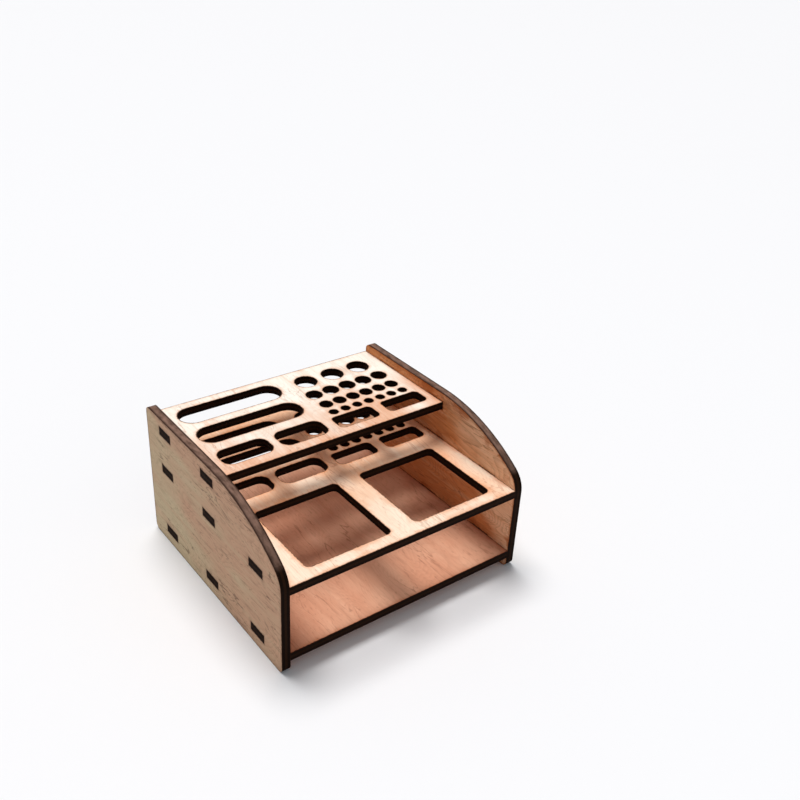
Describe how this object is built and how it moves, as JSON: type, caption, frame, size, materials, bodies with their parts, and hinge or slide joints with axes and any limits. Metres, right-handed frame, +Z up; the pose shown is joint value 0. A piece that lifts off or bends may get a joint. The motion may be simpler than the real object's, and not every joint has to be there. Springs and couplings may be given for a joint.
{
  "type": "hobby workstation organizer",
  "caption": "Laser-cut plywood desk stand with two square bottle holes in front and a raised shelf of slots and round holes for hand tools.",
  "frame": {"origin": "on the table, under the middle of the stand", "axes": "+X to the right, -Y to the front where the square holes are, +Z up"},
  "size_m": [0.126, 0.118, 0.068],
  "materials": {
    "shelf_plywood": "bare birch plywood, laser cut, with scorched edges",
    "base_plywood": "bare birch plywood, laser cut, with scorched edges",
    "side_plywood": "bare birch plywood, laser cut, with scorched edges"
  },
  "bodies": {
    "root": {"left_side": "side_plywood", "right_side": "side_plywood", "base_plate": "base_plywood", "middle_shelf": "shelf_plywood", "upper_shelf": "shelf_plywood"}
  },
  "joints": []
}
